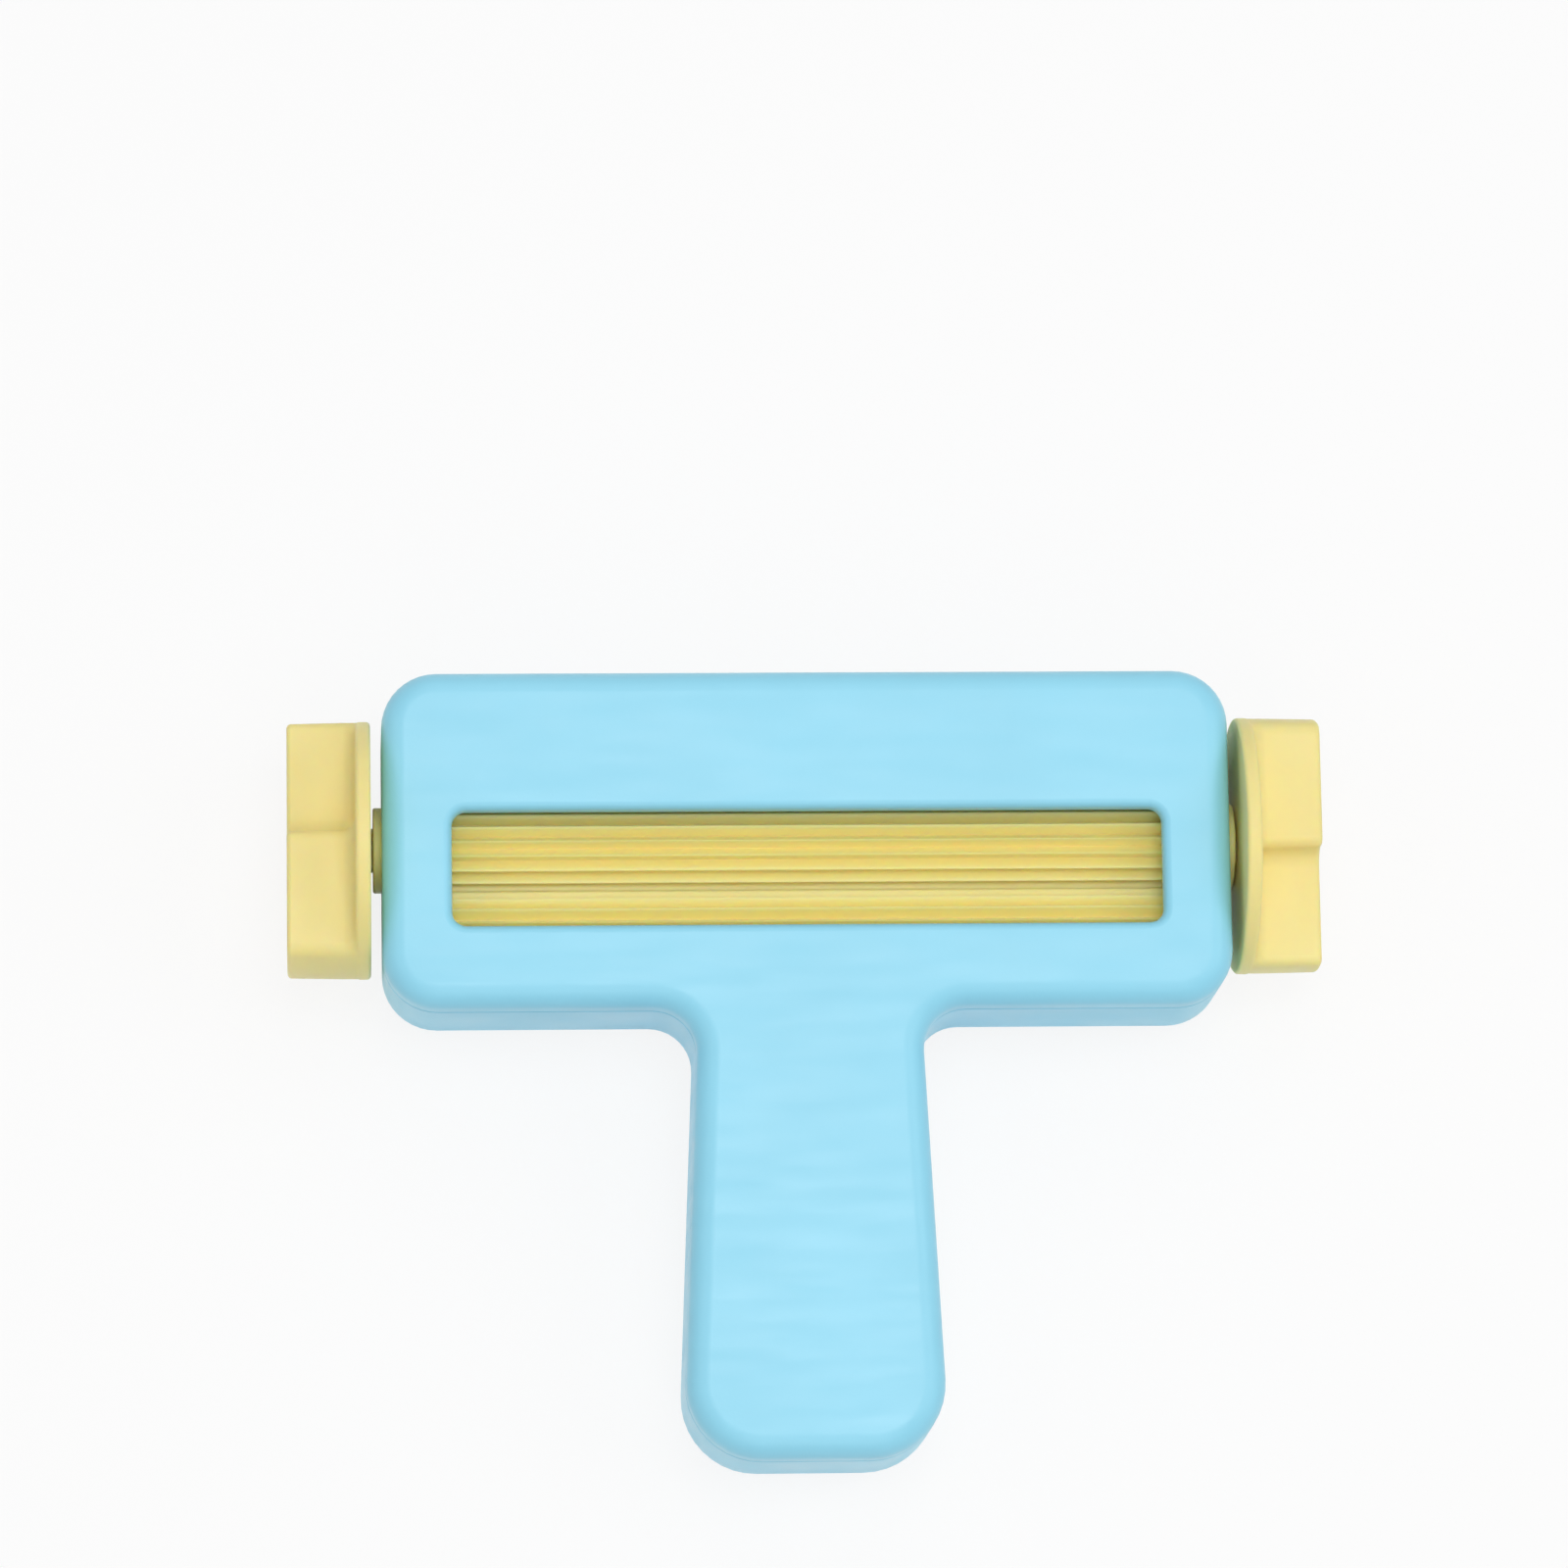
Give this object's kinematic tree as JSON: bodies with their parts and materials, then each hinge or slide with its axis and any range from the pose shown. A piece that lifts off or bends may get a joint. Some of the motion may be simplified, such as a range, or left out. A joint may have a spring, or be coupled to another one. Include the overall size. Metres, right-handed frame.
{
  "type": "paper crimper",
  "caption": "Hand-held paper crimper: T-shaped plastic case with a long window, ribbed rollers in mesh behind it and a grip knob at each end of the driving roller.",
  "frame": {"origin": "under the middle of the whole object, at the height of the lowest point of the knobs' round rims", "axes": "+X along the rollers to the right-hand knob, +Y from the handle to the head, +Z out of the windowed front face"},
  "size_m": [0.1316, 0.1002, 0.0328],
  "materials": {
    "case_plastic": "light blue moulded plastic, satin",
    "roller_plastic": "pale yellow moulded plastic, satin",
    "knob_plastic": "pale yellow moulded plastic, satin",
    "steel": "zinc plated"
  },
  "bodies": {
    "case": {"back_shell": "case_plastic", "front_shell": "case_plastic", "case_screw_1": "steel", "case_screw_2": "steel", "case_screw_3": "steel", "case_screw_4": "steel", "case_screw_5": "steel", "case_screw_6": "steel"},
    "drive_set": {"drive_roller": "roller_plastic", "drive_journal_left": "roller_plastic", "drive_journal_right": "roller_plastic", "left_knob": "knob_plastic", "right_knob": "knob_plastic", "left_knob_washer": "steel", "right_knob_washer": "steel", "left_knob_screw": "steel", "right_knob_screw": "steel"},
    "driven_set": {"driven_roller": "roller_plastic", "driven_journal_left": "roller_plastic", "driven_journal_right": "roller_plastic"}
  },
  "joints": [
    {"name": "drive_spin", "type": "hinge", "parent": "case", "child": "drive_set", "pos_m": [0, 0.02892, 0.0164], "axis": [1, 0, 0], "continuous": true},
    {"name": "driven_spin", "type": "hinge", "parent": "case", "child": "driven_set", "pos_m": [0, 0.01748, 0.0164], "axis": [1, 0, 0], "continuous": true}
  ],
  "couplings": [
    {"joint": "driven_spin", "follows": "drive_spin", "ratio": -1}
  ]
}
